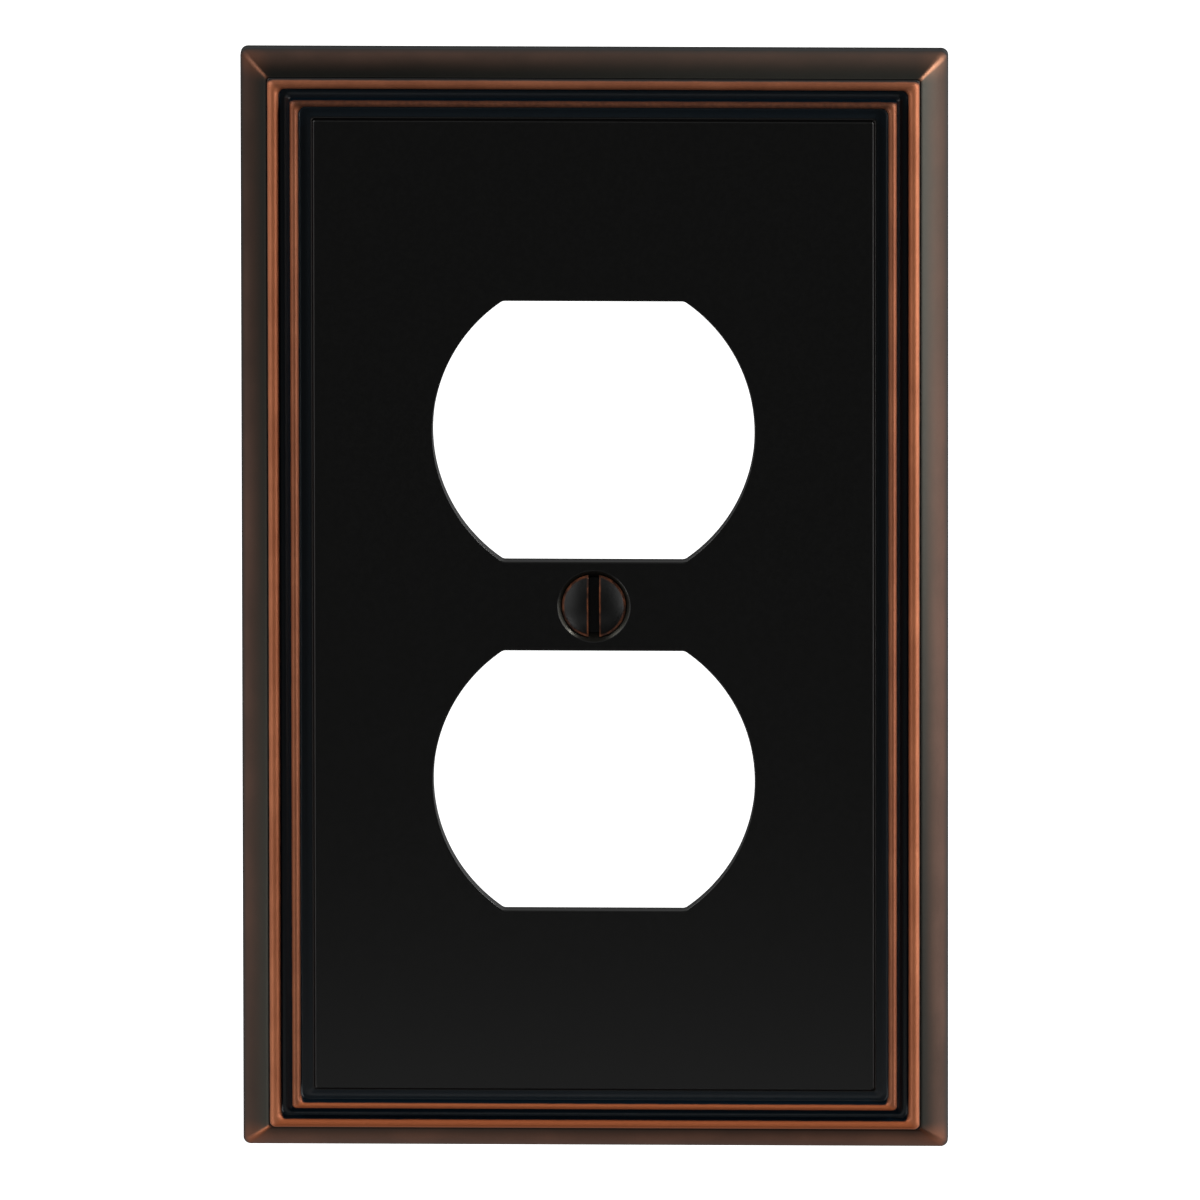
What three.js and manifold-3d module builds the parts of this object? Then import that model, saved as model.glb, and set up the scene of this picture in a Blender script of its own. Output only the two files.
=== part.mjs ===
// A cast metal wall plate for a duplex receptacle, with its mounting screw. Millimetres, +Z up.
//
// The plate stands upright as it does on a wall. Its front faces -Y and its rear rim lies in the
// plane Y = 0, which is the wall. The origin is the point where the screw's axis meets the wall.
// A "height" below is a distance out from the wall, so a height h lies at Y = -h, and an "inset"
// is a distance in from the plate's outline.

import * as THREE from 'three';
import { mergeVertices } from 'three/addons/utils/BufferGeometryUtils.js';
import Module from 'manifold-3d';

const wasm = await Module();
wasm.setup();

// ---- Driving dimensions -------------------------------------------------------------------

const plateWidth = 77.2;
const plateTall = 122.2;
const outlineRadius = 0.9;

// The border is a little narrower across the top and the bottom than down the sides.
const endNarrowing = 0.89;

const sideHeight = 1.6;

// The bevel is a shallow arc. Its slope falls from the outer angle to the inner one.
const bevel = { outerInset: 0.15, innerInset: 3.03, innerHeight: 5.1, outerAngle: 62, innerAngle: 38 };
const outerBead = { inset: 3.03, width: 1.26, base: 5.2, rise: 0.95, outerRadius: 0.5, innerRadius: 0.8 };
const groove = { height: 4.9, side: 0.15 };
const innerBead = { inset: 5.5, width: 0.92, base: 5.4, rise: 1.1, outerRadius: 0.3, innerRadius: 0.9 };
const channel = { height: 5.45, side: 0.2 };
const panel = { inset: 8.0, height: 6.2, radius: 0.3, edgeChamfer: 0.12 };

// The hollow's side slopes in from its mouth to a shoulder, and from there to its flat floor.
const recess = {
  mouthInset: 1.7,
  shoulderInset: 2.6,
  shoulderHeight: 2.4,
  floorInset: 7.6,
  floorHeight: 4.2,
  radius: 1.0,
};

const opening = { radius: 17.55, flat: 14.48, centre: 19.45, cornerRadius: 0.9 };

const screwHole = { diameter: 4.76, mouthDiameter: 7.94 };
const boss = { diameter: 8.6, height: 3.0, flare: 0.2, root: 0.5 };
const countersinkAngle = THREE.MathUtils.degToRad(82);

const screw = {
  headDiameter: 7.0,
  crown: 1.0,
  threadDiameter: 3.5,
  length: 15.9,
  tipChamfer: 0.7,
  slotWidth: 1.2,
  slotDepth: 1.5,
  seatGap: 0.15,
};

// How far a cutter runs past the faces that it cuts.
const clearance = 1;

const cornerSteps = 4;
const bevelSteps = 3;
const beadSteps = 6;
const openingSteps = 18;
const roundSteps = 48;

// ---- Solids that can be joined and cut ----------------------------------------------------

function toSolid(geometry) {
  const bare = geometry.clone();
  bare.deleteAttribute('normal');
  bare.deleteAttribute('uv');
  const merged = mergeVertices(bare, 1e-5);
  return new wasm.Manifold(new wasm.Mesh({
    numProp: 3,
    vertProperties: new Float32Array(merged.attributes.position.array),
    triVerts: new Uint32Array(merged.index.array),
  }));
}

function toGeometry(solid) {
  const mesh = solid.getMesh();
  const geometry = new THREE.BufferGeometry();
  geometry.setAttribute('position', new THREE.BufferAttribute(mesh.vertProperties, 3));
  geometry.setIndex(new THREE.BufferAttribute(mesh.triVerts, 1));
  const faceted = geometry.toNonIndexed();
  faceted.computeVertexNormals();
  return faceted;
}

// ---- Shapes shared by the sub-parts -------------------------------------------------------

// One turn around the plate at a given inset and height, counter-clockwise seen from the front.
function outlineRing({ inset, height, radius }) {
  const halfWidth = plateWidth / 2 - inset - radius;
  const halfTall = plateTall / 2 - inset * endNarrowing - radius;
  const corners = [[1, 1], [-1, 1], [-1, -1], [1, -1]];
  return corners.flatMap(([sideX, sideZ], corner) =>
    Array.from({ length: cornerSteps + 1 }, (_, step) => {
      const angle = (corner + step / cornerSteps) * Math.PI / 2;
      return new THREE.Vector3(
        sideX * halfWidth + radius * Math.cos(angle),
        -height,
        sideZ * halfTall + radius * Math.sin(angle),
      );
    }));
}

// A closed body through a list of rings that runs from the wall outwards.
function loft(rings) {
  const size = rings[0].length;
  const positions = rings.flat().flatMap((point) => point.toArray());
  const index = [];
  for (let ring = 0; ring < rings.length - 1; ring += 1) {
    for (let side = 0; side < size; side += 1) {
      const near = ring * size + side;
      const next = ring * size + (side + 1) % size;
      index.push(near, next, next + size, near, next + size, near + size);
    }
  }
  const last = (rings.length - 1) * size;
  for (let side = 1; side < size - 1; side += 1) {
    index.push(0, side + 1, side);
    index.push(last, last + side, last + side + 1);
  }
  const geometry = new THREE.BufferGeometry();
  geometry.setAttribute('position', new THREE.Float32BufferAttribute(positions, 3));
  geometry.setIndex(index);
  return geometry;
}

// A body turned about the screw's axis. Its profile is a list of [radius, height] pairs that
// starts and ends on the axis and runs from the wall outwards.
function turned(profile) {
  const points = profile.map(([radius, height]) => new THREE.Vector2(radius, height));
  return new THREE.LatheGeometry(points, roundSteps).rotateX(Math.PI);
}

function coneDepth(wideDiameter, narrowDiameter) {
  return (wideDiameter - narrowDiameter) / 2 / Math.tan(countersinkAngle / 2);
}

// ---- Cover plate --------------------------------------------------------------------------

function bevelRings() {
  const [outerAngle, innerAngle] = [bevel.outerAngle, bevel.innerAngle].map(THREE.MathUtils.degToRad);
  const arcRadius = (bevel.innerInset - bevel.outerInset) / (Math.sin(outerAngle) - Math.sin(innerAngle));
  return Array.from({ length: bevelSteps + 1 }, (_, step) => {
    const along = step / bevelSteps;
    const angle = THREE.MathUtils.lerp(outerAngle, innerAngle, along);
    return {
      inset: bevel.outerInset + arcRadius * (Math.sin(outerAngle) - Math.sin(angle)),
      height: bevel.innerHeight - arcRadius * (Math.cos(innerAngle) - Math.cos(angle)),
      radius: THREE.MathUtils.lerp(outlineRadius, outerBead.outerRadius, along),
    };
  });
}

// A rounded ridge that runs around the plate, from its outer foot to its inner one.
function beadRings(bead) {
  return Array.from({ length: beadSteps + 1 }, (_, step) => {
    const along = step / beadSteps;
    return {
      inset: bead.inset + bead.width * (1 - Math.cos(along * Math.PI)) / 2,
      height: bead.base + bead.rise * Math.sin(along * Math.PI),
      radius: THREE.MathUtils.lerp(bead.outerRadius, bead.innerRadius, along),
    };
  });
}

function plateBlank() {
  const grooveStart = outerBead.inset + outerBead.width;
  const channelStart = innerBead.inset + innerBead.width;
  const profile = [
    { inset: 0, height: 0, radius: outlineRadius },
    { inset: 0, height: sideHeight, radius: outlineRadius },
    ...bevelRings(),
    ...beadRings(outerBead),
    { inset: grooveStart + groove.side, height: groove.height, radius: outerBead.innerRadius },
    { inset: innerBead.inset - groove.side, height: groove.height, radius: innerBead.outerRadius },
    ...beadRings(innerBead),
    { inset: channelStart + channel.side, height: channel.height, radius: innerBead.innerRadius },
    { inset: panel.inset - channel.side, height: channel.height, radius: panel.radius },
    { inset: panel.inset, height: panel.height - panel.edgeChamfer, radius: panel.radius },
    { inset: panel.inset + panel.edgeChamfer, height: panel.height, radius: panel.radius },
  ];
  return toSolid(loft(profile.map(outlineRing)));
}

// The hollow behind the plate, which the receptacle's strap sits in.
function recessCutter() {
  const profile = [
    { inset: recess.mouthInset, height: -clearance, radius: recess.radius },
    { inset: recess.mouthInset, height: 0, radius: recess.radius },
    { inset: recess.shoulderInset, height: recess.shoulderHeight, radius: recess.radius },
    { inset: recess.floorInset, height: recess.floorHeight, radius: recess.radius },
  ];
  return toSolid(loft(profile.map(outlineRing)));
}

// A round receptacle face with a flat across its top and its bottom.
function openingCutter(centre) {
  const { radius, flat, cornerRadius } = opening;
  const innerAngle = Math.asin((flat - cornerRadius) / (radius - cornerRadius));
  const cornerX = (radius - cornerRadius) * Math.cos(innerAngle);
  const cornerY = flat - cornerRadius;
  const shape = new THREE.Shape();
  shape.absarc(0, 0, radius, -innerAngle, innerAngle);
  shape.absarc(cornerX, cornerY, cornerRadius, innerAngle, Math.PI / 2);
  shape.absarc(-cornerX, cornerY, cornerRadius, Math.PI / 2, Math.PI - innerAngle);
  shape.absarc(0, 0, radius, Math.PI - innerAngle, Math.PI + innerAngle);
  shape.absarc(-cornerX, -cornerY, cornerRadius, Math.PI + innerAngle, 1.5 * Math.PI);
  shape.absarc(cornerX, -cornerY, cornerRadius, 1.5 * Math.PI, 2 * Math.PI - innerAngle);
  const depth = panel.height + 2 * clearance;
  const settings = { depth, bevelEnabled: false, curveSegments: openingSteps };
  const cutter = new THREE.ExtrudeGeometry(shape, settings);
  return toSolid(cutter.rotateX(Math.PI / 2).translate(0, clearance, centre));
}

function screwBoss() {
  return toSolid(turned([
    [0, boss.height],
    [boss.diameter / 2, boss.height],
    [boss.diameter / 2 + boss.flare, recess.floorHeight],
    [boss.diameter / 2 + boss.flare, recess.floorHeight + boss.root],
    [0, recess.floorHeight + boss.root],
  ]));
}

function screwHoleCutter() {
  const { diameter, mouthDiameter } = screwHole;
  return toSolid(turned([
    [0, -clearance],
    [diameter / 2, -clearance],
    [diameter / 2, panel.height - coneDepth(mouthDiameter, diameter)],
    [mouthDiameter / 2, panel.height],
    [mouthDiameter / 2, panel.height + clearance],
    [0, panel.height + clearance],
  ]));
}

function coverPlate() {
  const casting = plateBlank()
    .subtract(recessCutter())
    .add(screwBoss())
    .subtract(screwHoleCutter())
    .subtract(openingCutter(opening.centre))
    .subtract(openingCutter(-opening.centre));
  return toGeometry(casting);
}

// ---- Mounting screw -----------------------------------------------------------------------

// The screw's head sits in the countersink with a small gap, so that the two never touch.
const headRim = panel.height - coneDepth(screwHole.mouthDiameter, screw.headDiameter) + screw.seatGap;

// A shallow dome over the head's rim, from the rim up to the axis.
function crownProfile() {
  const rimRadius = screw.headDiameter / 2;
  const sphere = (rimRadius ** 2 + screw.crown ** 2) / (2 * screw.crown);
  const fullAngle = Math.asin(rimRadius / sphere);
  return Array.from({ length: beadSteps }, (_, step) => {
    const angle = fullAngle * (1 - (step + 1) / beadSteps);
    return [sphere * Math.sin(angle), headRim + screw.crown - sphere * (1 - Math.cos(angle))];
  });
}

function mountingScrew() {
  const tip = headRim - screw.length;
  const threadRadius = screw.threadDiameter / 2;
  const body = toSolid(turned([
    [0, tip],
    [threadRadius - screw.tipChamfer, tip],
    [threadRadius, tip + screw.tipChamfer],
    [threadRadius, headRim - coneDepth(screw.headDiameter, screw.threadDiameter)],
    [screw.headDiameter / 2, headRim],
    ...crownProfile(),
  ]));
  const slot = new THREE.BoxGeometry(screw.slotWidth, screw.slotDepth * 2, screw.headDiameter * 1.2);
  slot.translate(0, -(headRim + screw.crown), 0);
  return toGeometry(body.subtract(toSolid(slot)));
}

// ---- Assembly -----------------------------------------------------------------------------

const bronzeFinish = { color: 0x1b1917, roughness: 0.45, metalness: 0.75 };

function part(name, geometry) {
  const mesh = new THREE.Mesh(geometry, new THREE.MeshStandardMaterial(bronzeFinish));
  mesh.name = name;
  return mesh;
}

const wallPlate = new THREE.Group();
wallPlate.add(part('cover_plate', coverPlate()));
wallPlate.add(part('mounting_screw', mountingScrew()));

export default wallPlate;
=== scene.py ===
"""A cast wall plate in rubbed bronze with its mounting screw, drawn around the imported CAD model.

The plate stands upright and faces -Y. In the names below a "height" is a distance out from the wall
plane Y = 0, and an "inset" is a distance in from the plate's outline.
"""

import math
from types import SimpleNamespace

import bmesh
import bpy
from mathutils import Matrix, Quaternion, Vector


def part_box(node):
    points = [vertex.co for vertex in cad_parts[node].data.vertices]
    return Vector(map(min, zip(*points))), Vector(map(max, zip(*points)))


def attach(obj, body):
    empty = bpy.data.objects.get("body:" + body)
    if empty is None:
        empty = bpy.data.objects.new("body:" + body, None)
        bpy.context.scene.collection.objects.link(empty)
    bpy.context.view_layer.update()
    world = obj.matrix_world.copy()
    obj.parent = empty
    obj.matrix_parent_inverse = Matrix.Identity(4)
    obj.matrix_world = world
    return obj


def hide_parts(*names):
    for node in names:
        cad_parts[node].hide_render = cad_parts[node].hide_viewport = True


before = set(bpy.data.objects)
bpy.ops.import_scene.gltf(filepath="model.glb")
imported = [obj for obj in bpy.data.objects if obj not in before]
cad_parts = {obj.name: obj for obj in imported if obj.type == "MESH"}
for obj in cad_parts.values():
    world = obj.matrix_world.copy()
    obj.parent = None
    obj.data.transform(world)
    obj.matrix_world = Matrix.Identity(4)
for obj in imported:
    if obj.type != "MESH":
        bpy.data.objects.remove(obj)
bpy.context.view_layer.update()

MM = 0.001
PLATE_LOW, PLATE_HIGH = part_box("cover_plate")
SCREW_LOW, SCREW_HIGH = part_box("mounting_screw")
HALF_WIDTH = PLATE_HIGH.x
HALF_TALL = PLATE_HIGH.z

# The moulding of the plate, in millimetres, as in the CAD model.
END_NARROWING = 0.89
OUTLINE_RADIUS = 0.8
SIDE_HEIGHT = 1.6
BEVEL_INSET = 3.03
BEVEL_TOP = 5.05
CREASE_HEIGHT = 5.0
OUTER_BEAD = {"inset": 3.03, "width": 1.22, "base": 5.35, "rise": 0.8, "radii": (0.6, 0.75)}
INNER_BEAD = {"inset": 5.5, "width": 0.90, "base": 5.75, "rise": 0.75, "radii": (0.4, 0.85)}
PANEL_INSET = 8.0
PANEL_HEIGHT = 6.2
PANEL_EDGE = 0.2
CHANNEL_HEIGHT = 5.45
RECESS_HEIGHT = 4.2

OPENING_RADIUS = 17.55
OPENING_FLAT = 14.48
OPENING_CENTRE = 19.45
OPENING_CORNER = 0.9
EDGE_ROUND = 0.18

# A narrow flat ring beside each flat face keeps its shading flat.
FLAT_RING = 0.05

# Values in place of an inset: behind the plate, on the front clear of the border, in the countersink.
BEHIND = -5.0
CLEAR = 20.0
COUNTERSINK = 30.0

HOLE_RADIUS = 2.38
COUNTERSINK_RADIUS = 3.97
BOSS_RADIUS = 4.3
BOSS_HEIGHT = 3.0
# Half of the 82 degree angle that the countersink and the screw's head share.
CONE_ANGLE = math.radians(41)

SCREW_PITCH = 0.794
SCREW_MAJOR_RADIUS = 1.75
SCREW_MINOR_RADIUS = 1.33
CROWN_HEIGHT = 1.0
SLOT_WIDTH = 1.2
SLOT_DEPTH = 1.5
SLOT_CUTTER_LENGTH = 9.0


# ---- Rings and lofts ------------------------------------------------------------------------

def lerp(a, b, t):
    return a + (b - a) * t


def plate_ring(inset, height, radius, steps=10):
    """One turn around the plate as points in millimetres, counter-clockwise seen from the front."""
    half_width = HALF_WIDTH / MM - inset - radius
    half_tall = HALF_TALL / MM - inset * END_NARROWING - radius
    points = []
    for corner, (side_x, side_z) in enumerate(((1, 1), (-1, 1), (-1, -1), (1, -1))):
        for step in range(steps + 1):
            angle = (corner + step / steps) * math.pi / 2
            x = side_x * half_width + radius * math.cos(angle)
            z = side_z * half_tall + radius * math.sin(angle)
            points.append((x, -height, z))
    return points


def circle_ring(radius, height, steps=96):
    """A circle about the screw's axis, counter-clockwise seen from the front."""
    turns = [2 * math.pi * step / steps for step in range(steps)]
    return [(radius * math.cos(turn), -height, radius * math.sin(turn)) for turn in turns]


def opening_ring(centre, grow, height, arc_steps=56, corner_steps=8):
    """A circle with a flat across its top and bottom and rounded corners, grown outwards by grow."""
    corner = OPENING_CORNER + grow
    middle_angle = math.asin((OPENING_FLAT - OPENING_CORNER) / (OPENING_RADIUS - OPENING_CORNER))
    corner_x = (OPENING_RADIUS - OPENING_CORNER) * math.cos(middle_angle)
    corner_z = OPENING_FLAT - OPENING_CORNER
    radius = OPENING_RADIUS + grow
    points = []

    def arc(x, z, size, start, end, steps):
        for step in range(steps):
            angle = lerp(start, end, step / steps)
            points.append((x + size * math.cos(angle), -height, centre + z + size * math.sin(angle)))

    quarter = math.pi / 2
    for turn in (0, math.pi):
        side = math.cos(turn)
        arc(0, 0, radius, turn - middle_angle, turn + middle_angle, arc_steps)
        first = (corner_x * side, corner_z * side)
        second = (-corner_x * side, corner_z * side)
        arc(*first, corner, turn + middle_angle, turn + quarter, corner_steps)
        points.append((first[0], -height, centre + side * (OPENING_FLAT + grow)))
        arc(*second, corner, turn + quarter, turn + math.pi - middle_angle, corner_steps)
    return points


class Shell:
    """A mesh built from rings of points, with the profile position of each vertex kept as a value."""

    def __init__(self):
        self.mesh = bmesh.new()
        self.border = self.mesh.verts.layers.float.new("border")

    def ring(self, points, border):
        vertices = [self.mesh.verts.new(Vector(point) * MM) for point in points]
        for vertex in vertices:
            vertex[self.border] = border
        return vertices

    def loft(self, rings):
        """Faces between each ring and the next. They face outwards where the rings are listed from
        the wall outwards and run counter-clockwise."""
        for near, far in zip(rings, rings[1:]):
            for index in range(len(near)):
                after = (index + 1) % len(near)
                self.mesh.faces.new((near[index], near[after], far[after], far[index]))

    def fill(self, loops, normal):
        edges = []
        for loop in loops:
            for index, vertex in enumerate(loop):
                pair = (vertex, loop[(index + 1) % len(loop)])
                edges.append(self.mesh.edges.get(pair) or self.mesh.edges.new(pair))
        bmesh.ops.triangle_fill(self.mesh, use_beauty=True, edges=edges, normal=normal)

    def finish(self, name, body, material, slot):
        bmesh.ops.recalc_face_normals(self.mesh, faces=self.mesh.faces)
        for face in self.mesh.faces:
            face.smooth = True
        data = bpy.data.meshes.new(name)
        self.mesh.to_mesh(data)
        self.mesh.free()
        piece = bpy.data.objects.new(name, data)
        bpy.context.scene.collection.objects.link(piece)
        data.materials.append(material)
        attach(piece, body)
        return piece


# ---- The plate's moulding -------------------------------------------------------------------

def arc_profile(start, end, start_slope, end_slope, radii, steps):
    """A smooth curve between two (inset, height) points, with a given slope at each end."""
    run = end[0] - start[0]
    rows = []
    for step in range(1, steps + 1):
        t = step / steps
        height = (
            (2 * t**3 - 3 * t**2 + 1) * start[1]
            + (t**3 - 2 * t**2 + t) * run * start_slope
            + (3 * t**2 - 2 * t**3) * end[1]
            + (t**3 - t**2) * run * end_slope
        )
        rows.append((lerp(start[0], end[0], t), height, lerp(*radii, t)))
    return rows


def bead_profile(bead, steps=16):
    rows = []
    for step in range(steps + 1):
        t = step / steps
        inset = bead["inset"] + bead["width"] * (1 - math.cos(t * math.pi)) / 2
        height = bead["base"] + bead["rise"] * math.sin(t * math.pi)
        rows.append((inset, height, lerp(*bead["radii"], t)))
    return rows


def front_profile():
    """The front from the rear rim's outer edge to the panel, as (inset, height, corner radius)."""
    rows = [
        (0.12, 0.0, OUTLINE_RADIUS),
        (0.0, 0.12, OUTLINE_RADIUS),
        (0.0, SIDE_HEIGHT, OUTLINE_RADIUS),
        (0.03, SIDE_HEIGHT + 0.14, OUTLINE_RADIUS),
        (0.1, SIDE_HEIGHT + 0.26, OUTLINE_RADIUS),
    ]
    bevel_end = (BEVEL_INSET - 0.16, BEVEL_TOP)
    rows += arc_profile(rows[-1][:2], bevel_end, 1.85, 0.85, (OUTLINE_RADIUS, 0.35), 10)
    rows += [
        (BEVEL_INSET - 0.1, BEVEL_TOP, 0.4),
        (BEVEL_INSET - 0.06, CREASE_HEIGHT, 0.45),
        (BEVEL_INSET - 0.02, CREASE_HEIGHT, 0.5),
    ]
    outer = bead_profile(OUTER_BEAD)
    inner = bead_profile(INNER_BEAD)
    rows += outer
    groove_foot = (inner[0][0], inner[0][1] - 0.4)
    groove_start = (outer[-1][0], outer[-1][1] - 0.3)
    rows += arc_profile(groove_start, groove_foot, -0.7, 0.9, (0.8, 0.3), 10)
    rows += inner
    channel_start = (inner[-1][0], inner[-1][1] - 0.3)
    channel_end = (PANEL_INSET - 0.1, CHANNEL_HEIGHT)
    rows += arc_profile(channel_start, channel_end, -0.5, 0.1, (0.85, 0.3), 12)
    for step in range(5):
        angle = step / 4 * math.pi / 2
        inset = PANEL_INSET + PANEL_EDGE * (1 - math.cos(angle))
        height = PANEL_HEIGHT - PANEL_EDGE * (1 - math.sin(angle))
        rows.append((inset, height, 0.3))
    rows.append((PANEL_INSET + PANEL_EDGE + FLAT_RING, PANEL_HEIGHT, 0.3))
    return rows


def back_profile():
    """The hollow behind the plate, from its flat floor to the rear rim's outer edge."""
    return [
        (7.9 + FLAT_RING, RECESS_HEIGHT, 1.0),
        (7.9, RECESS_HEIGHT, 1.0),
        (7.6, RECESS_HEIGHT - 0.03, 1.0),
        (7.3, RECESS_HEIGHT - 0.12, 1.0),
        (2.75, 2.55, 1.0),
        (2.6, 2.45, 1.0),
        (2.5, 2.25, 1.0),
        (1.75, 0.15, 1.0),
        (1.6, 0.0, 1.0),
    ]


def add_opening(shell, centre):
    """The wall of one receptacle opening. Returns its loops at the back and at the front."""
    wall = [
        (EDGE_ROUND + FLAT_RING, RECESS_HEIGHT),
        (EDGE_ROUND, RECESS_HEIGHT),
        (0.05, RECESS_HEIGHT + 0.05),
        (0.0, RECESS_HEIGHT + 0.18),
    ]
    for step in range(5):
        angle = step / 4 * math.pi / 2
        grow = EDGE_ROUND * (1 - math.cos(angle))
        wall.append((grow, PANEL_HEIGHT - EDGE_ROUND * (1 - math.sin(angle))))
    wall.append((EDGE_ROUND + FLAT_RING, PANEL_HEIGHT))
    loops = []
    for grow, height in wall:
        border = BEHIND if height == RECESS_HEIGHT else CLEAR
        loops.append(shell.ring(opening_ring(centre, grow, height), border))
    shell.loft(loops)
    return loops[0], loops[-1]


def add_screw_hole(shell):
    """The boss, the hole and the countersink. Returns their loops at the back and at the front."""
    cone_foot = PANEL_HEIGHT - (COUNTERSINK_RADIUS - HOLE_RADIUS) / math.tan(CONE_ANGLE)
    wall = [
        (BOSS_RADIUS + 0.3 + FLAT_RING, RECESS_HEIGHT),
        (BOSS_RADIUS + 0.3, RECESS_HEIGHT),
        (BOSS_RADIUS + 0.1, RECESS_HEIGHT - 0.1),
        (BOSS_RADIUS, BOSS_HEIGHT + 0.2),
        (BOSS_RADIUS - 0.2, BOSS_HEIGHT),
        (HOLE_RADIUS + 0.1, BOSS_HEIGHT),
        (HOLE_RADIUS, BOSS_HEIGHT + 0.1),
        (HOLE_RADIUS, cone_foot - 0.05),
        (HOLE_RADIUS + 0.04, cone_foot + 0.05),
        (COUNTERSINK_RADIUS - 0.05, PANEL_HEIGHT - 0.06),
        (COUNTERSINK_RADIUS + 0.05, PANEL_HEIGHT),
        (COUNTERSINK_RADIUS + 0.05 + FLAT_RING, PANEL_HEIGHT),
    ]
    loops = []
    for radius, height in wall:
        border = CLEAR if radius > COUNTERSINK_RADIUS else COUNTERSINK
        if height <= RECESS_HEIGHT and radius > HOLE_RADIUS:
            border = BEHIND
        loops.append(shell.ring(circle_ring(radius, height), border))
    shell.loft(loops)
    return loops[0], loops[-1]


def build_cover_plate(material):
    shell = Shell()
    rings = [shell.ring(plate_ring(*row), BEHIND) for row in back_profile()]
    for inset, height, radius in front_profile():
        border = inset if height > SIDE_HEIGHT else height - SIDE_HEIGHT
        rings.append(shell.ring(plate_ring(inset, height, radius), border))
    shell.loft(rings)

    upper = add_opening(shell, OPENING_CENTRE)
    lower = add_opening(shell, -OPENING_CENTRE)
    hole = add_screw_hole(shell)
    back_loops, front_loops = zip((rings[0], rings[-1]), upper, lower, hole)
    shell.fill(front_loops, (0, -1, 0))
    shell.fill(back_loops, (0, 1, 0))
    piece = shell.finish("cover_plate.cast", "plate", material, "aged_bronze")
    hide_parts("cover_plate")
    return piece


# ---- The mounting screw ---------------------------------------------------------------------

def screw_profile():
    """(height, radius, thread depth) from the tip to the crown, in millimetres."""
    tip = -SCREW_HIGH.y / MM
    top = -SCREW_LOW.y / MM
    head_radius = SCREW_HIGH.x / MM
    major = SCREW_MAJOR_RADIUS
    crown_foot = top - CROWN_HEIGHT
    neck = crown_foot - (head_radius - major) / math.tan(CONE_ANGLE)
    depth = major - SCREW_MINOR_RADIUS
    rows = [(tip, 0.001, 0.0), (tip, 0.8, 0.0), (tip + 0.05, 1.0, 0.0)]
    thread_end = neck - 0.9
    count = int((thread_end - tip) / (SCREW_PITCH / 12))
    for step in range(count + 1):
        height = lerp(tip + 0.1, thread_end, step / count)
        lead = min(1.0, (height - tip) / 0.9)
        fade = min(1.0, (thread_end - height) / 0.7)
        rows.append((height, lerp(1.1, major, lead), depth * lead * fade))
    rows += [
        (neck - 0.15, major, 0.0),
        (neck, major + 0.03, 0.0),
        (neck + 0.12, major + 0.14, 0.0),
        (crown_foot - 0.08, head_radius - 0.07, 0.0),
        (crown_foot - 0.02, head_radius - 0.01, 0.0),
        (crown_foot + 0.05, head_radius, 0.0),
    ]
    sphere = (head_radius**2 + CROWN_HEIGHT**2) / (2 * CROWN_HEIGHT)
    full_angle = math.asin((head_radius - 0.06) / sphere)
    for step in range(14):
        angle = full_angle * (1 - step / 14)
        rows.append((top - sphere * (1 - math.cos(angle)), sphere * math.sin(angle), 0.0))
    rows.append((top, 0.001, 0.0))
    return rows


def thread_wave(turn):
    """0 at the thread's crest and 1 at its root, with flanks at 30 degrees and narrow flats."""
    distance = abs(turn % 1.0 - 0.5) * 2
    return min(1.0, max(0.0, (distance - 0.12) / 0.66))


def build_screw(material):
    shell = Shell()
    steps = 64
    rings = []
    for height, radius, depth in screw_profile():
        points = []
        for step in range(steps):
            turn = step / steps
            reach = radius - depth * thread_wave(height / SCREW_PITCH + turn)
            angle = 2 * math.pi * turn
            points.append((reach * math.cos(angle), -height, reach * math.sin(angle)))
        rings.append(shell.ring(points, 0.0))
    shell.loft(rings)
    shell.mesh.faces.new(rings[-1])
    shell.mesh.faces.new(list(reversed(rings[0])))
    piece = shell.finish("mounting_screw.turned", "screw", material, "screw_bronze")
    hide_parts("mounting_screw")
    cut_slot(piece)
    return piece


def cut_slot(piece):
    """Cuts the driver slot and softens its edges."""
    top = -SCREW_LOW.y
    box = bmesh.new()
    bmesh.ops.create_cube(box, size=1.0)
    cutter_size = (SLOT_WIDTH * MM, SLOT_DEPTH * 2 * MM, SLOT_CUTTER_LENGTH * MM)
    bmesh.ops.scale(box, vec=cutter_size, verts=box.verts)
    bmesh.ops.translate(box, vec=(0, -top, 0), verts=box.verts)
    data = bpy.data.meshes.new("slot_cutter")
    box.to_mesh(data)
    box.free()
    cutter = bpy.data.objects.new("slot_cutter", data)
    bpy.context.scene.collection.objects.link(cutter)
    boolean = piece.modifiers.new("slot", "BOOLEAN")
    boolean.operation = "DIFFERENCE"
    boolean.object = cutter
    boolean.solver = "EXACT"
    bevel = piece.modifiers.new("soft_edges", "BEVEL")
    bevel.width = 0.05 * MM
    bevel.segments = 2
    bevel.limit_method = "ANGLE"
    bevel.angle_limit = math.radians(55)
    bpy.context.view_layer.update()
    evaluated = piece.evaluated_get(bpy.context.evaluated_depsgraph_get())
    finished = bpy.data.meshes.new_from_object(evaluated)
    piece.modifiers.clear()
    piece.data = finished
    bpy.data.objects.remove(cutter)


# ---- Materials ------------------------------------------------------------------------------

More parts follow.
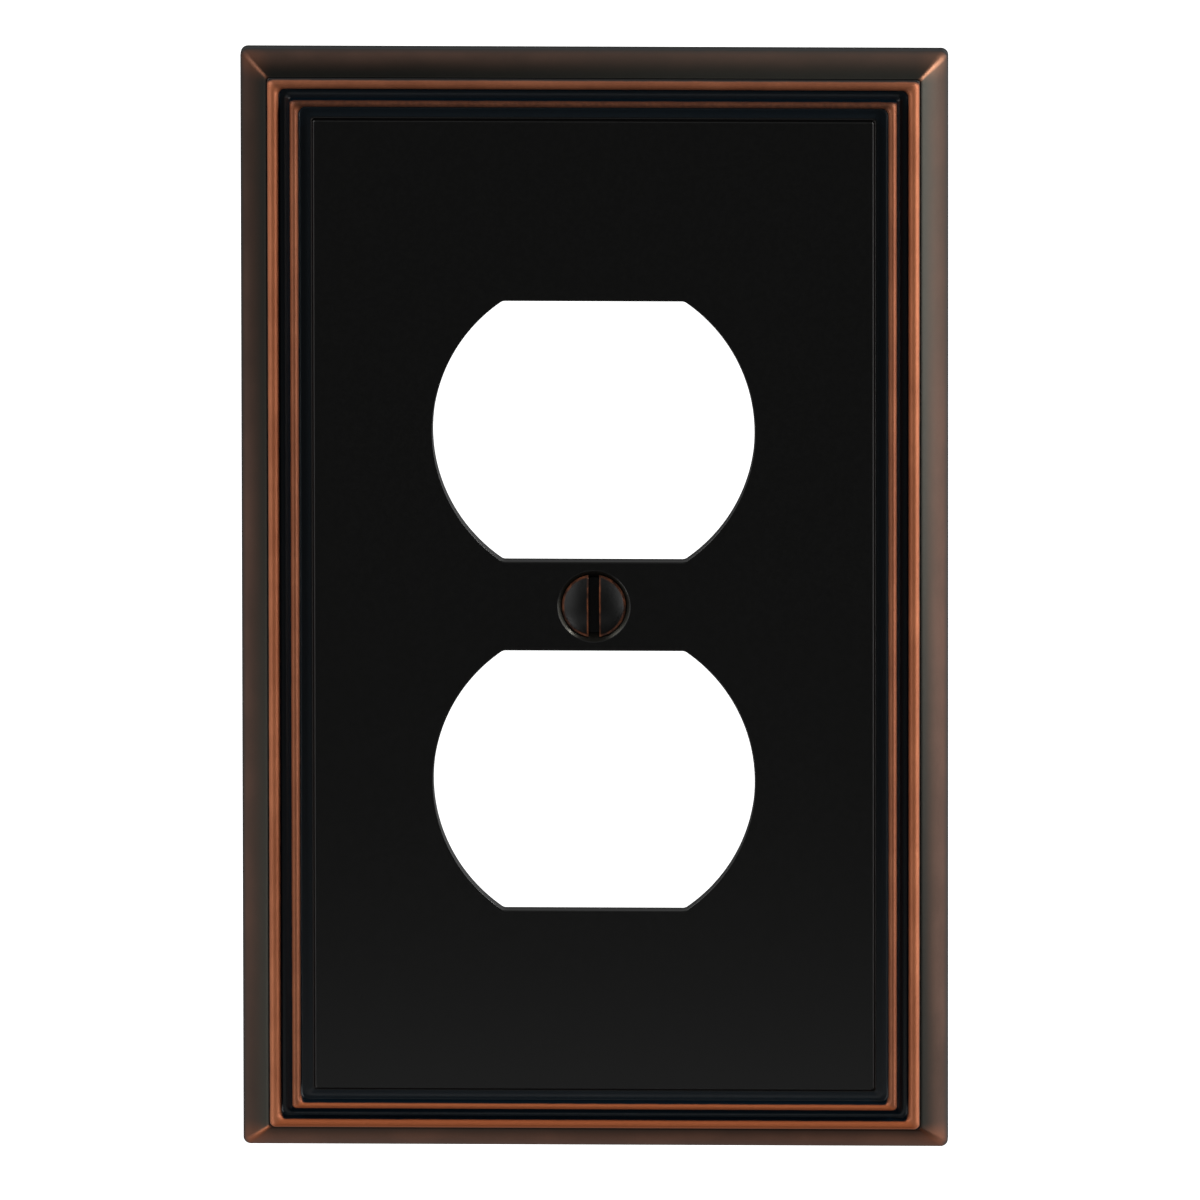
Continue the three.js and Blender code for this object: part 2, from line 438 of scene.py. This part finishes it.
class Nodes:
    """A short way to write a material's node tree."""

    def __init__(self, name):
        self.material = bpy.data.materials.new(name)
        self.material.use_nodes = True
        self.tree = self.material.node_tree
        self.shader = self.tree.nodes["Principled BSDF"]

    def add(self, kind, inputs=(), **settings):
        node = self.tree.nodes.new(kind)
        for key, value in settings.items():
            setattr(node, key, value)
        for key, value in dict(inputs).items():
            self.set(node.inputs[key], value)
        return node

    def set(self, socket, value):
        if isinstance(value, bpy.types.NodeSocket):
            self.tree.links.new(value, socket)
        else:
            socket.default_value = value

    def math(self, operation, a, b=0.0, clamp=False):
        inputs = {0: a, 1: b}
        return self.add("ShaderNodeMath", inputs, operation=operation, use_clamp=clamp).outputs[0]

    def times(self, *factors):
        product = factors[0]
        for factor in factors[1:]:
            product = self.math("MULTIPLY", product, factor)
        return product

    def step(self, value, low, high, start=0.0, end=1.0):
        """A smooth change from start to end as value goes from low to high."""
        inputs = {"Value": value, "From Min": low, "From Max": high, "To Min": start, "To Max": end}
        node = self.add("ShaderNodeMapRange", inputs, interpolation_type="SMOOTHSTEP")
        return node.outputs["Result"]

    def noise(self, position, scale, detail=3.0, stretch=(1, 1, 1), roughness=0.5):
        mapped = self.add("ShaderNodeMapping", {"Vector": position, "Scale": stretch}).outputs[0]
        inputs = {"Vector": mapped, "Scale": scale, "Detail": detail, "Roughness": roughness}
        return self.add("ShaderNodeTexNoise", inputs).outputs["Fac"]

    def mix(self, factor, a, b):
        node = self.add("ShaderNodeMix", data_type="RGBA")
        self.set(node.inputs["Factor"], factor)
        self.set(node.inputs[6], a)
        self.set(node.inputs[7], b)
        return node.outputs[2]


BLACK = (0.0018, 0.0018, 0.0016, 1)
# A bluish tint over the grooves and the channel: painted reflection.
GROOVE_PAINTED_REFLECTION = (0.0018, 0.0085, 0.0150, 1)
BEVEL_OLIVE = (0.052, 0.050, 0.042, 1)
RUBBED_BROWN = (0.150, 0.070, 0.044, 1)
LOWER_BROWN = (0.370, 0.138, 0.068, 1)
COPPER_DARK = (0.46, 0.142, 0.058, 1)
COPPER_LIGHT = (0.58, 0.190, 0.082, 1)
COPPER_RED = (0.54, 0.143, 0.046, 1)
# Paler copper on the bevel at the upper right: painted highlight.
PAINTED_HIGHLIGHT_COPPER = (0.60, 0.27, 0.15, 1)

# How far to each side of the plate's centre its halves blend into each other, in millimetres.
HALF_BLEND = 20.0


def millimetre_space(n):
    """The object's own coordinates in millimetres."""
    position = n.add("ShaderNodeTexCoord").outputs["Object"]
    return n.add("ShaderNodeVectorMath", {0: position, "Scale": 1 / MM}, operation="SCALE").outputs[0]


def bead_zone(n, inset, bead, upper_end, lower_end):
    """1 on a bead. Across the two ends the side of the bead that faces up is less rubbed."""
    first, last = bead["inset"], bead["inset"] + bead["width"]
    start = n.math("SUBTRACT", inset, n.times(upper_end, 0.06))
    end = n.math("ADD", inset, n.times(lower_end, 0.15))
    rise = n.step(start, first - 0.04, first + 0.12)
    fall = n.step(end, last - 0.07, last + 0.07, 1.0, 0.0)
    return n.times(rise, fall)


def edge_distances(n, x, z):
    """How far a point is from the nearer side and from the nearer end, both in insets."""
    from_side = n.math("SUBTRACT", HALF_WIDTH / MM, n.math("ABSOLUTE", x))
    from_end = n.math("SUBTRACT", HALF_TALL / MM, n.math("ABSOLUTE", z))
    return from_side, n.math("DIVIDE", from_end, END_NARROWING)


def plate_zones(n, place):
    """Where each finish and each painted shade lies on the plate, as values from 0 to 1, and the
    distances they depend on.
    """
    split = n.add("ShaderNodeSeparateXYZ", {0: place})
    x, z = split.outputs["X"], split.outputs["Z"]
    border = n.add("ShaderNodeAttribute", attribute_name="border").outputs["Fac"]
    wander = n.times(n.math("SUBTRACT", n.noise(place, 0.6), 0.5), 0.08)
    inset = n.math("ADD", border, wander)
    from_side, from_end = edge_distances(n, x, z)
    zones = SimpleNamespace(z=z, inset=inset, from_side=from_side, from_end=from_end)

    low_half = n.step(z, -HALF_BLEND, HALF_BLEND, 1.0, 0.0)
    high_half = n.math("SUBTRACT", 1.0, low_half)
    near_end = n.step(n.math("SUBTRACT", from_side, from_end), -0.5, 0.5)
    zones.diagonal = n.times(x, z)
    zones.upper_end = n.times(near_end, high_half)
    zones.lower_end = n.times(near_end, low_half)
    zones.upper_right = n.times(n.step(x, -HALF_BLEND, HALF_BLEND), high_half)

    zones.outer_bead = bead_zone(n, inset, OUTER_BEAD, zones.upper_end, zones.lower_end)
    zones.inner_bead = bead_zone(n, inset, INNER_BEAD, zones.upper_end, zones.lower_end)
    # Painted shade: the bevel's olive, brown and copper fade towards black at the outline's rounded
    # edge, except along the lower end.
    rim_painted_shade = n.math("MAXIMUM", n.step(inset, 0.1, 0.55, 0.35, 1.0), zones.lower_end)
    zones.bevel = n.times(
        n.step(inset, 0.02, 0.2),
        n.step(inset, BEVEL_INSET - 0.25, BEVEL_INSET, 1.0, 0.0),
        rim_painted_shade,
    )
    zones.grooves = n.times(
        n.step(inset, BEVEL_INSET + 0.2, BEVEL_INSET + 0.4),
        n.step(inset, PANEL_INSET - 0.4, PANEL_INSET - 0.2, 1.0, 0.0),
    )
    zones.countersink = n.step(inset, COUNTERSINK - 2.0, COUNTERSINK - 1.0)
    zones.behind = n.step(inset, BEHIND + 0.5, BEHIND + 1.5, 1.0, 0.0)
    return zones


def corner_wear_and_highlight(n, zones, patches):
    """Copper rubbed bare along the bevel's mitres, and a softer patch around each outer corner. The
    mitre line is also painted highlight: it is strongest at the upper-right and lower-left corners.
    """
    off_mitre = n.math("ABSOLUTE", n.math("SUBTRACT", zones.from_side, zones.from_end))
    from_corner = n.math("MAXIMUM", zones.from_side, zones.from_end)
    width = n.step(from_corner, 0.5, 3.2, 1.5, 0.5)
    line = n.step(n.math("DIVIDE", off_mitre, width), 0.0, 1.0, 1.0, 0.0)
    # Painted highlight: the mitre line is strongest at the upper-right and lower-left corners.
    line_strength = n.step(zones.diagonal, -100.0, 100.0, 0.35, 1.0)
    reach = n.step(from_corner, 0.5, 3.8, 1.0, 0.0)
    patch_strength = n.step(zones.z, -HALF_BLEND, HALF_BLEND, 0.6, 0.4)
    patch = n.times(reach, patch_strength, n.step(patches, 0.25, 0.65, 0.6, 1.0))
    return n.math("MAXIMUM", n.times(line, line_strength), patch)


def copper_wear_and_highlight(n, zones, patches):
    """Where the finish is rubbed through to copper, with painted highlight on the upper-right and
    lower-left mitres.
    """
    beads = n.math("ADD", zones.outer_bead, zones.inner_bead, clamp=True)
    corners = n.times(corner_wear_and_highlight(n, zones, patches), zones.bevel, 0.65)
    return n.math("ADD", beads, corners, clamp=True)


def brown_wear(n, zones, patches):
    """Where the bevel is rubbed brown: towards the outline, and least near the plate's two ends."""
    from_outline = n.math("SUBTRACT", zones.inset, n.times(zones.lower_end, 0.9))
    from_middle = n.math("ABSOLUTE", n.math("ADD", zones.z, 10.0))
    return n.times(
        n.step(from_outline, 0.2, 2.7, 1.0, 0.0),
        zones.bevel,
        n.step(patches, 0.3, 0.75, 0.7, 1.0),
        n.step(from_middle, 15.0, 60.0, 1.0, 0.6),
    )


def finish_colour_with_painted_light(n, zones, brown, patches):
    """The dark finish: black, and olive and brown on the bevel, with a painted bluish reflection in
    the grooves and painted sheen that strengthens the bevel's olive towards the upper right and lower
    left.
    """
    # Painted sheen: the bevel's olive grows stronger towards the upper right and lower left.
    bevel = n.times(zones.bevel, n.step(zones.diagonal, -1500.0, 1500.0, 0.4, 1.0))
    thin = n.times(zones.behind, n.step(patches, 0.35, 0.65, 0.0, 0.35))
    olive = n.math("MAXIMUM", n.math("MAXIMUM", bevel, thin), n.times(zones.countersink, 0.65))
    # Painted reflection: the grooves and the channel are tinted bluish.
    colour = n.mix(zones.grooves, BLACK, GROOVE_PAINTED_REFLECTION)
    colour = n.mix(olive, colour, BEVEL_OLIVE)
    return n.mix(brown, colour, n.mix(zones.lower_end, RUBBED_BROWN, LOWER_BROWN))


def copper_colour_with_painted_light(n, zones, patches, grain):
    """The bare copper: redder along the lower end, paler on the bevel at the upper right as painted
    highlight, darkened along the upper end as painted shade, and tarnished on the inner bead."""
    colour = n.mix(n.step(patches, 0.35, 0.7), COPPER_DARK, COPPER_LIGHT)
    colour = n.mix(zones.lower_end, colour, COPPER_RED)
    # Painted highlight: paler copper on the bevel at the upper right.
    colour = n.mix(n.times(zones.bevel, zones.upper_right), colour, PAINTED_HIGHLIGHT_COPPER)
    inner_tarnish = n.times(zones.inner_bead, n.step(zones.lower_end, 0.0, 1.0, 0.38, 0.0))
    # Painted shade: copper along the upper end goes 42 percent towards black. On the inner bead the
    # darkening is tarnish.
    tarnish_and_painted_shade = n.math("ADD", n.times(zones.upper_end, 0.42), inner_tarnish)
    return n.mix(n.times(tarnish_and_painted_shade, n.step(grain, 0.3, 0.7, 0.85, 1.0)), colour, BLACK)


def plate_metallic(n, zones, copper, brown):
    bevel = n.times(zones.bevel, n.step(brown, 0.0, 1.0, 0.9, 0.45))
    bare_metal = n.math("MAXIMUM", bevel, n.times(zones.countersink, 0.9))
    return n.math("MAXIMUM", n.times(copper, 0.42), bare_metal)


def plate_roughness(n, zones, copper, grain):
    """Satin, duller where it is rubbed and on the back."""
    rubbed = n.math("MAXIMUM", n.times(copper, 0.17), n.times(zones.bevel, 0.1))
    roughness = n.math("ADD", n.math("ADD", rubbed, 0.33), n.step(grain, 0.3, 0.7, -0.02, 0.02))
    return n.math("ADD", roughness, n.times(zones.behind, 0.12))


def plate_bump(n, zones, place, grain):
    """Fine upright brushing and grain, and a coarser cast skin on the back."""
    brushing = n.noise(place, 6.0, detail=2.0, stretch=(1, 1, 0.02))
    cast_skin = n.times(zones.behind, n.noise(place, 1.1, detail=5.0, roughness=0.6), 24.0)
    texture = n.math("ADD", n.math("ADD", n.times(brushing, 0.6), n.times(grain, 0.4)), cast_skin)
    inputs = {"Height": texture, "Strength": 0.12, "Distance": 0.02 * MM}
    return n.add("ShaderNodeBump", inputs).outputs["Normal"]


def plate_material():
    """Satin black bronze, rubbed to copper on the beads and mitres and to brown on the bevel, with
    painted highlight, shade and reflection in places.
    """
    n = Nodes("aged_bronze")
    place = millimetre_space(n)
    patches = n.noise(place, 0.16, detail=4.0)
    grain = n.noise(place, 2.2, detail=3.0)
    zones = plate_zones(n, place)
    copper = copper_wear_and_highlight(n, zones, patches)
    brown = brown_wear(n, zones, patches)

    finish = finish_colour_with_painted_light(n, zones, brown, patches)
    metal = copper_colour_with_painted_light(n, zones, patches, grain)
    n.set(n.shader.inputs["Base Color"], n.mix(copper, finish, metal))
    n.set(n.shader.inputs["Metallic"], plate_metallic(n, zones, copper, brown))
    n.set(n.shader.inputs["Roughness"], plate_roughness(n, zones, copper, grain))
    n.set(n.shader.inputs["Normal"], plate_bump(n, zones, place, grain))
    return n.material


def screw_material():
    """The plate's satin black, rubbed to copper along the driver slot and around the head's rim."""
    n = Nodes("screw_bronze")
    place = millimetre_space(n)
    split = n.add("ShaderNodeSeparateXYZ", {0: place})
    grain = n.noise(place, 7.0, detail=2.0)
    patches = n.noise(place, 0.9, detail=4.0)
    bump = n.add("ShaderNodeBump", {"Height": grain, "Strength": 0.15, "Distance": 0.02 * MM})

    from_slot = n.math("SUBTRACT", n.math("ABSOLUTE", split.outputs["X"]), SLOT_WIDTH / 2)
    slot_edge = n.times(n.step(from_slot, -0.03, 0.02), n.step(from_slot, 0.06, 0.22, 1.0, 0.0))
    x_squared = n.times(split.outputs["X"], split.outputs["X"])
    z_squared = n.times(split.outputs["Z"], split.outputs["Z"])
    radius = n.math("SQRT", n.math("ADD", x_squared, z_squared))
    head_radius = SCREW_HIGH.x / MM
    rim = n.step(radius, head_radius - 0.35, head_radius - 0.1)
    crown_foot = SCREW_LOW.y / MM + CROWN_HEIGHT
    on_crown = n.step(split.outputs["Y"], crown_foot - 0.1, crown_foot + 0.1, 1.0, 0.0)
    edges = n.math("MAXIMUM", slot_edge, rim)
    wear = n.times(edges, on_crown, n.step(patches, 0.35, 0.65, 0.1, 0.7))

    n.set(n.shader.inputs["Base Color"], n.mix(wear, BLACK, COPPER_DARK))
    n.set(n.shader.inputs["Metallic"], n.step(wear, 0.0, 1.0, 0.2, 0.5))
    n.set(n.shader.inputs["Roughness"], n.step(grain, 0.3, 0.7, 0.34, 0.42))
    n.set(n.shader.inputs["Normal"], bump.outputs["Normal"])
    return n.material


# ---- Studio ---------------------------------------------------------------------------------

# How bright the surroundings are on each side of the plate.
AROUND = {"right": 0.72, "left": 0.25, "above": 0.53, "below": 0.25, "front": 0.07}


def pale_material():
    """Matt white, and bright enough of itself to look white from every side."""
    n = Nodes("pale_studio")
    n.shader.inputs["Base Color"].default_value = (0.9, 0.9, 0.9, 1)
    n.shader.inputs["Roughness"].default_value = 1.0
    n.shader.inputs["Specular IOR Level"].default_value = 0.0
    n.shader.inputs["Emission Color"].default_value = (1, 1, 1, 1)
    n.shader.inputs["Emission Strength"].default_value = 1.05
    return n.material


def build_floor(material):
    """A pale floor well below the plate. It doesn't light the plate."""
    mesh = bmesh.new()
    bmesh.ops.create_grid(mesh, x_segments=1, y_segments=1, size=60.0)
    bmesh.ops.translate(mesh, vec=(0, 0, -0.45), verts=mesh.verts)
    data = bpy.data.meshes.new("floor")
    mesh.to_mesh(data)
    mesh.free()
    data.materials.append(material)
    floor = bpy.data.objects.new("floor", data)
    bpy.context.scene.collection.objects.link(floor)
    floor.visible_diffuse = False
    floor.visible_glossy = False
    floor.visible_shadow = False


def area_light(name, place, target, size, power):
    """A lamp that faces target. Its size is its width and height in metres."""
    light = bpy.data.lights.new(name, "AREA")
    light.shape = "RECTANGLE"
    light.size, light.size_y = size
    light.energy = power
    lamp = bpy.data.objects.new(name, light)
    lamp.location = place
    lamp.rotation_euler = (Vector(target) - Vector(place)).to_track_quat("-Z", "Y").to_euler()
    lamp.visible_camera = False
    bpy.context.scene.collection.objects.link(lamp)


def build_world():
    """Light brightest from the right and above and dim from the front, which the flat panel mirrors.
    The background itself is white."""
    world = bpy.data.worlds.new("studio")
    world.use_nodes = True
    tree = world.node_tree
    background = tree.nodes["Background"]
    split = tree.nodes.new("ShaderNodeSeparateXYZ")
    tree.links.new(tree.nodes.new("ShaderNodeTexCoord").outputs["Generated"], split.inputs[0])

    def math_node(operation, a, b, clamp=False):
        node = tree.nodes.new("ShaderNodeMath")
        node.operation = operation
        node.use_clamp = clamp
        for socket, value in zip(node.inputs, (a, b)):
            if isinstance(value, bpy.types.NodeSocket):
                tree.links.new(value, socket)
            else:
                socket.default_value = value
        return node.outputs[0]

    def towards(axis, sign, brightness):
        share = math_node("MULTIPLY", split.outputs[axis], sign, clamp=True)
        return math_node("MULTIPLY", share, brightness)

    sides = math_node("ADD", towards("X", 1, AROUND["right"]), towards("X", -1, AROUND["left"]))
    ends = math_node("ADD", towards("Z", 1, AROUND["above"]), towards("Z", -1, AROUND["below"]))
    not_in_front = tree.nodes.new("ShaderNodeMapRange")
    not_in_front.interpolation_type = "SMOOTHSTEP"
    not_in_front.inputs["From Min"].default_value = -0.5
    not_in_front.inputs["From Max"].default_value = 0.3
    tree.links.new(split.outputs["Y"], not_in_front.inputs["Value"])
    around = math_node("MULTIPLY", math_node("ADD", sides, ends), not_in_front.outputs["Result"])
    total = math_node("ADD", around, towards("Y", -1, AROUND["front"]))
    seen_directly = tree.nodes.new("ShaderNodeLightPath").outputs["Is Camera Ray"]
    tree.links.new(math_node("MAXIMUM", total, seen_directly), background.inputs["Strength"])
    background.inputs["Color"].default_value = (1, 1, 1, 1)
    bpy.context.scene.world = world


def build_lights():
    area_light("key", (0.42, -0.12, 0.05), (0, 0, 0), (0.34, 0.42), 1.3)
    area_light("fill", (-0.9, -0.5, 0.1), (0, 0, 0), (0.8, 0.9), 2.6)
    area_light("upper_left", (-0.35, -0.15, 0.30), (0, 0, 0), (0.2, 0.2), 0.5)
    area_light("upper_right", (0.35, -0.15, 0.30), (0, 0, 0), (0.05, 0.05), 0.6)
    area_light("lower_left", (-0.35, -0.15, -0.30), (0, 0, 0), (0.2, 0.2), 0.35)
    area_light("above", (0.0, -0.60, 0.50), (0, 0, 0), (0.4, 0.4), 0.22)
    area_light("low", (0.0, -0.13, -0.10), (0, 0, -0.06), (0.18, 0.025), 0.011)


def build_camera():
    """A long lens a little above and to the right, so the plate's sides stay parallel."""
    elevation, azimuth, roll = math.radians(11.5), math.radians(1.5), math.radians(-0.08)
    distance = 5.0
    seen_height = 131.1 * MM
    target = Vector((0.60 * MM, PLATE_LOW.y / 2, 0.13 * MM))
    direction = Vector((
        math.sin(azimuth) * math.cos(elevation),
        -math.cos(azimuth) * math.cos(elevation),
        math.sin(elevation),
    ))
    camera = bpy.data.cameras.new("camera")
    camera.sensor_width = 36
    camera.lens = camera.sensor_width * distance / seen_height
    camera.clip_end = 200
    holder = bpy.data.objects.new("camera", camera)
    holder.location = target + direction * distance
    aim = (-direction).to_track_quat("-Z", "Y") @ Quaternion((0, 0, 1), roll)
    holder.rotation_euler = aim.to_euler()
    bpy.context.scene.collection.objects.link(holder)
    bpy.context.scene.camera = holder


bpy.context.scene.view_settings.view_transform = "Standard"
build_camera()
build_cover_plate(plate_material())
build_screw(screw_material())
build_floor(pale_material())
build_world()
build_lights()
